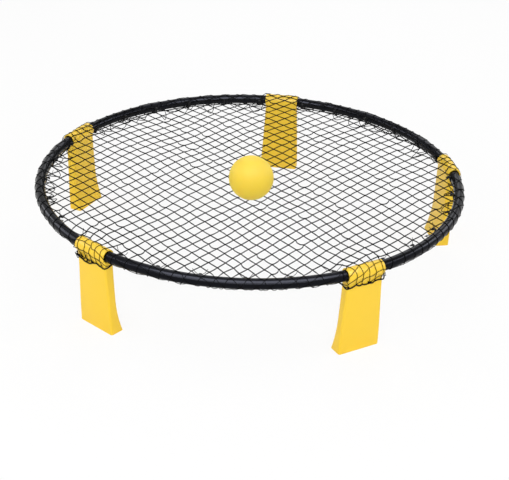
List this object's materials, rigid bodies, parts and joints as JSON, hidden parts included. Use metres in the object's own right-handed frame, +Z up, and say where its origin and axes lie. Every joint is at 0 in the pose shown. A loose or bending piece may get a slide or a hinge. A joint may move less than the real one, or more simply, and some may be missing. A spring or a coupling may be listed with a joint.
{
  "type": "roundnet set",
  "caption": "Low round net frame on folding legs, with a knotted net hooked under its tubular rim and an inflated ball resting on the net.",
  "frame": {"origin": "on the ground, under the middle of the set", "axes": "+Z up; the picture's viewer looks along +Y from the side on which the ball lies, with +X to the right"},
  "size_m": [0.9229, 0.9199, 0.2714],
  "materials": {
    "rim_black": "satin",
    "leg_yellow": "satin",
    "net_black": "knotted cord",
    "edge_cord_black": "braided elastic cord",
    "hook_black": "matte",
    "ball_yellow": "soft matte",
    "valve_rubber": "matte"
  },
  "bodies": {
    "rim": {"rim_tube_1": "rim_black", "rim_tube_2": "rim_black", "rim_tube_3": "rim_black", "rim_tube_4": "rim_black", "rim_tube_5": "rim_black", "net": "net_black", "edge_cord": "edge_cord_black", "net_hook_01": "hook_black", "net_hook_02": "hook_black", "net_hook_03": "hook_black", "net_hook_04": "hook_black", "net_hook_05": "hook_black", "net_hook_06": "hook_black", "net_hook_07": "hook_black", "net_hook_08": "hook_black", "net_hook_09": "hook_black", "net_hook_10": "hook_black", "net_hook_11": "hook_black", "net_hook_12": "hook_black", "net_hook_13": "hook_black", "net_hook_14": "hook_black", "net_hook_15": "hook_black", "net_hook_16": "hook_black", "net_hook_17": "hook_black", "net_hook_18": "hook_black", "net_hook_19": "hook_black", "net_hook_20": "hook_black", "net_hook_21": "hook_black", "net_hook_22": "hook_black", "net_hook_23": "hook_black", "net_hook_24": "hook_black", "net_hook_25": "hook_black", "net_hook_26": "hook_black", "net_hook_27": "hook_black", "net_hook_28": "hook_black", "net_hook_29": "hook_black", "net_hook_30": "hook_black"},
    "leg_1": {"leg_1": "leg_yellow"},
    "leg_2": {"leg_2": "leg_yellow"},
    "leg_3": {"leg_3": "leg_yellow"},
    "leg_4": {"leg_4": "leg_yellow"},
    "leg_5": {"leg_5": "leg_yellow"},
    "ball": {"ball": "ball_yellow", "ball_valve": "valve_rubber"}
  },
  "joints": [
    {"name": "leg_1_fold", "type": "hinge", "parent": "rim", "child": "leg_1", "pos_m": [0.43911, 0.07506, 0.1727], "axis": [-0.1685, 0.9857, 0], "range_deg": [0, 80]},
    {"name": "leg_2_fold", "type": "hinge", "parent": "rim", "child": "leg_2", "pos_m": [0.07122, 0.43974, 0.1727], "axis": [-0.9871, 0.1599, 0], "range_deg": [0, 80]},
    {"name": "leg_3_fold", "type": "hinge", "parent": "rim", "child": "leg_3", "pos_m": [-0.40005, 0.19598, 0.1727], "axis": [-0.4399, -0.898, 0], "range_deg": [0, 80]},
    {"name": "leg_4_fold", "type": "hinge", "parent": "rim", "child": "leg_4", "pos_m": [-0.2899, -0.33824, 0.1727], "axis": [0.7593, -0.6508, 0], "range_deg": [0, 80]},
    {"name": "leg_5_fold", "type": "hinge", "parent": "rim", "child": "leg_5", "pos_m": [0.21801, -0.38849, 0.1727], "axis": [0.8721, 0.4894, 0], "range_deg": [0, 80]},
    {"name": "ball_lift", "type": "slide", "parent": "rim", "child": "ball", "axis": [0, 0, 1], "range_m": [0, 0.3]}
  ]
}
